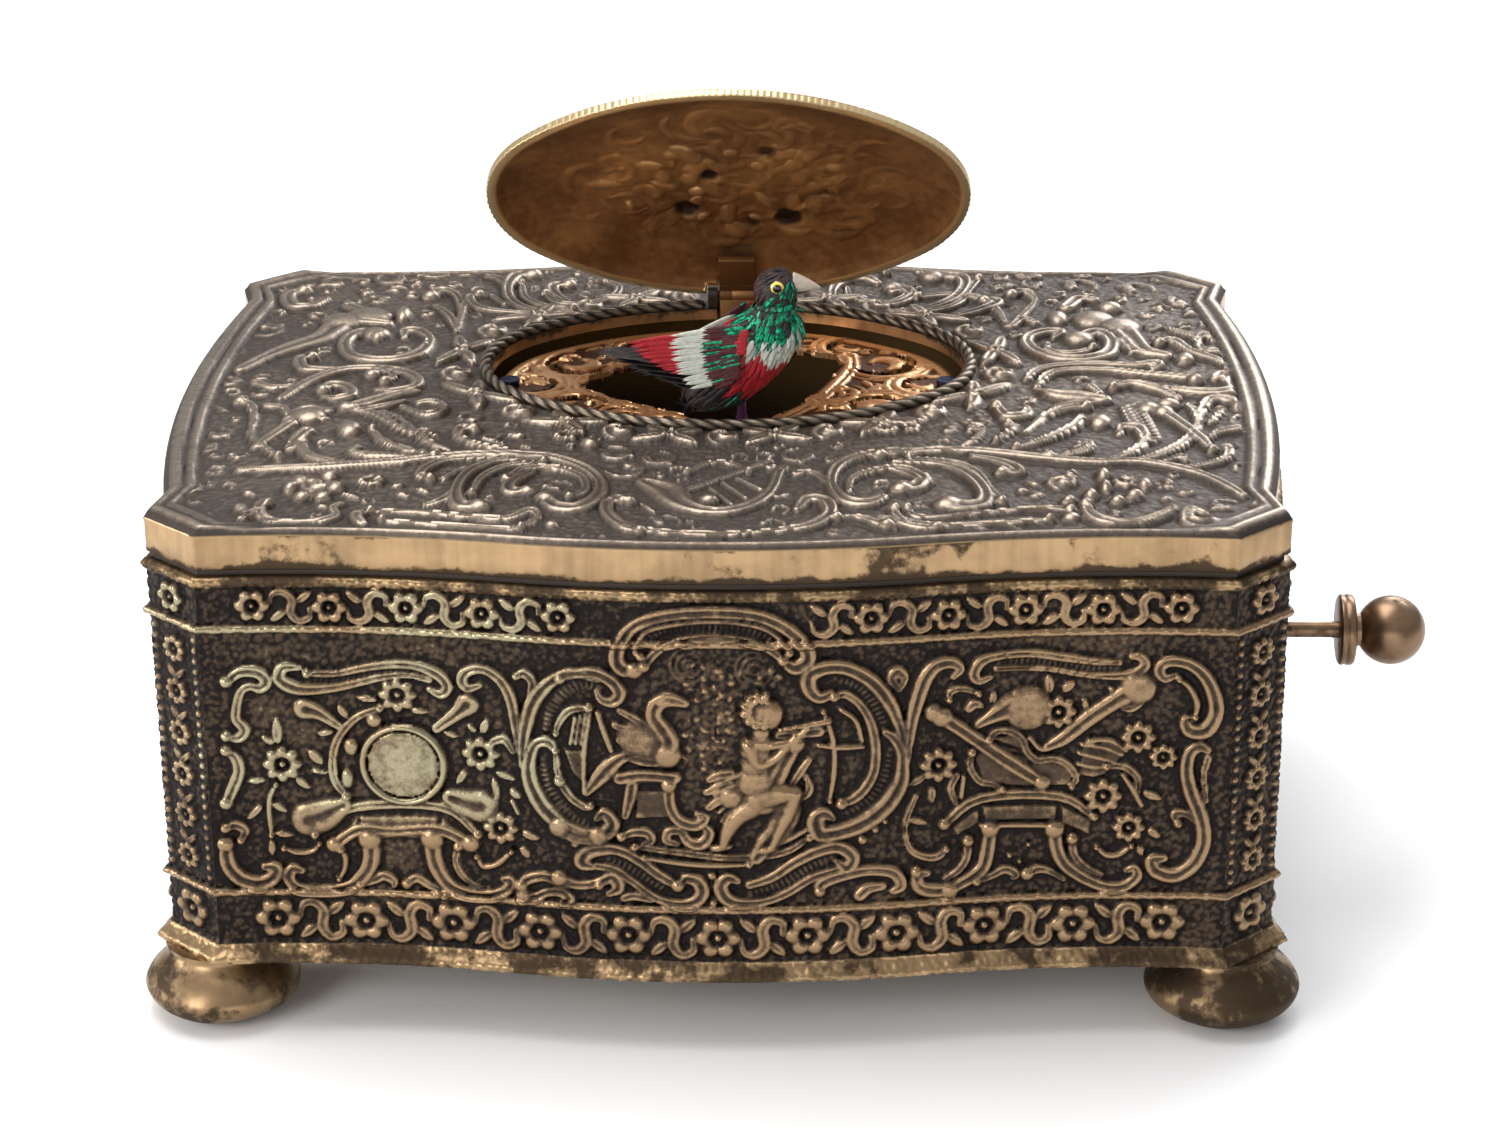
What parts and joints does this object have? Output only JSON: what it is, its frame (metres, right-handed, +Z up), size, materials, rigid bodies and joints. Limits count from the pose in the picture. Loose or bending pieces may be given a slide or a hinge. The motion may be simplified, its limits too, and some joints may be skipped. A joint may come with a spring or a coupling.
{
  "type": "singing bird box",
  "caption": "Footed metal casket whose oval lid opens over a pierced grille as a small feathered bird rises, turns and sings by bellows and cams.",
  "frame": {"origin": "on the table plane, under the middle of the box's plan", "axes": "+X towards the start knob's side, +Y towards the back, +Z up"},
  "size_m": [0.1267, 0.0828, 0.0815],
  "materials": {
    "dark_silver": "oxidised, chased silver: near black ground with worn gold-grey relief",
    "worn_gilt": "worn, tarnished gilt metal",
    "rose_gilt": "bright rose-gilt, pierced",
    "brass": "brushed brass",
    "steel": "polished steel",
    "blued_steel": "blued steel",
    "leather": "thin kid leather",
    "board": "thin boxwood",
    "feather_green": "iridescent green and brown feathers",
    "feather_red": "red, white and brown feathers",
    "feather_dark": "black feathers",
    "beak": "ivory-coloured, smooth",
    "eye": "yellow glass with a black pupil",
    "stem": "dark purple-brown"
  },
  "bodies": {
    "case": {"case_body": "dark_silver", "base_plate": "worn_gilt", "foot_front_left": "worn_gilt", "foot_front_right": "worn_gilt", "foot_rear_left": "worn_gilt", "foot_rear_right": "worn_gilt", "foot_screws": "steel", "top_cover": "dark_silver", "rope_rim": "worn_gilt", "grille": "rose_gilt", "grille_frame": "brass", "grille_screws": "steel", "hinge_ears": "worn_gilt", "hinge_pin": "steel", "carriage_bearings": "brass", "slide_guide": "brass", "main_plate": "brass", "bridge_plate": "brass", "plate_stands": "brass", "frame_pillars": "brass", "frame_screws": "steel", "click_screw": "steel", "worm_cocks": "brass", "bellows_fixed_board": "board", "bellows_leather": "leather", "bellows_hinge_rod": "steel", "whistle_tube": "brass", "wind_chest": "brass"},
    "lid": {"oval_lid": "worn_gilt", "lid_arm": "worn_gilt"},
    "carriage": {"bird_carriage": "brass", "bird_stem": "stem"},
    "bird": {"bird_body": "feather_green", "bird_head": "feather_green", "bird_eyes": "eye"},
    "beak": {"lower_beak": "beak"},
    "tail": {"bird_tail": "feather_dark"},
    "wing_right": {"right_wing": "feather_red"},
    "wing_left": {"left_wing": "feather_red"},
    "start_slide": {"start_rod": "steel", "start_knob": "worn_gilt"},
    "barrel": {"great_wheel": "brass", "barrel_drum": "brass", "barrel_cap": "brass", "mainspring": "blued_steel"},
    "winding": {"winding_arbor": "steel", "ratchet_wheel": "steel"},
    "click": {"ratchet_click": "steel"},
    "cams": {"cam_arbor": "steel", "cam_wheel": "brass", "cam_stack": "brass"},
    "crank": {"crank_arbor": "steel", "worm_wheel": "brass", "bellows_eccentric": "brass"},
    "fly": {"worm_shaft": "steel", "fly_vanes": "brass"},
    "bellows": {"bellows_moving_board": "board", "bellows_lever": "brass"},
    "piston": {"whistle_piston": "steel"}
  },
  "joints": [
    {"name": "bird_fold", "type": "hinge", "parent": "case", "child": "carriage", "pos_m": [0, -0.0049, 0.0436], "axis": [1, 0, 0], "range_deg": [-90, 0]},
    {"name": "lid_close", "type": "hinge", "parent": "case", "child": "lid", "pos_m": [0.0006, 0.0263, 0.0528], "axis": [1, 0, 0], "range_deg": [0, 52]},
    {"name": "bird_turn", "type": "hinge", "parent": "carriage", "child": "bird", "pos_m": [0.0017, -0.0049, 0.0516], "axis": [0, 0, -1], "range_deg": [0, 40]},
    {"name": "beak_open", "type": "hinge", "parent": "bird", "child": "beak", "pos_m": [0.0052, -0.0049, 0.0635], "axis": [0, 1, 0], "range_deg": [0, 20]},
    {"name": "tail_wag", "type": "hinge", "parent": "bird", "child": "tail", "pos_m": [-0.0026, -0.0049, 0.0547], "axis": [0, 1, 0], "range_deg": [0, 14]},
    {"name": "wing_right_lift", "type": "hinge", "parent": "bird", "child": "wing_right", "pos_m": [0.002, -0.00935, 0.0613], "axis": [-0.9945, 0, -0.1045], "range_deg": [0, 35]},
    {"name": "wing_left_lift", "type": "hinge", "parent": "bird", "child": "wing_left", "pos_m": [0.002, -0.00045, 0.0613], "axis": [0.9945, 0, 0.1045], "range_deg": [0, 35]},
    {"name": "start_push", "type": "slide", "parent": "case", "child": "start_slide", "axis": [-1, 0, 0], "range_m": [0, 0.003]},
    {"name": "winding_turn", "type": "hinge", "parent": "case", "child": "winding", "pos_m": [-0.028, 0.012, 0.013], "axis": [0, 0, 1], "continuous": true},
    {"name": "click_lift", "type": "hinge", "parent": "case", "child": "click", "pos_m": [-0.0186, 0.012, 0.013], "axis": [0, 0, 1], "range_deg": [0, 18]},
    {"name": "fly_spin", "type": "hinge", "parent": "case", "child": "fly", "pos_m": [-0.00166, -0.01326, 0.0204], "axis": [1, 0, 0], "continuous": true},
    {"name": "crank_spin", "type": "hinge", "parent": "case", "child": "crank", "pos_m": [-0.00166, -0.00439, 0.0148], "axis": [0, 0, 1], "continuous": true},
    {"name": "cam_spin", "type": "hinge", "parent": "case", "child": "cams", "pos_m": [-0.01643, -0.00179, 0.0148], "axis": [0, 0, 1], "continuous": true},
    {"name": "barrel_spin", "type": "hinge", "parent": "case", "child": "barrel", "pos_m": [-0.028, 0.012, 0.0148], "axis": [0, 0, 1], "continuous": true},
    {"name": "bellows_pump", "type": "hinge", "parent": "case", "child": "bellows", "pos_m": [0.0191, 0.0308, 0.0148], "axis": [0, 0, 1], "range_deg": [0, 6]},
    {"name": "piston_slide", "type": "slide", "parent": "case", "child": "piston", "axis": [0, 1, 0], "range_m": [0, 0.007]}
  ],
  "couplings": [
    {"joint": "lid_close", "follows": "bird_fold", "ratio": -0.57778},
    {"joint": "wing_left_lift", "follows": "wing_right_lift", "ratio": 1},
    {"joint": "crank_spin", "follows": "fly_spin", "ratio": 0.027778},
    {"joint": "cam_spin", "follows": "fly_spin", "ratio": -0.0069444},
    {"joint": "barrel_spin", "follows": "fly_spin", "ratio": 0.0013889}
  ]
}
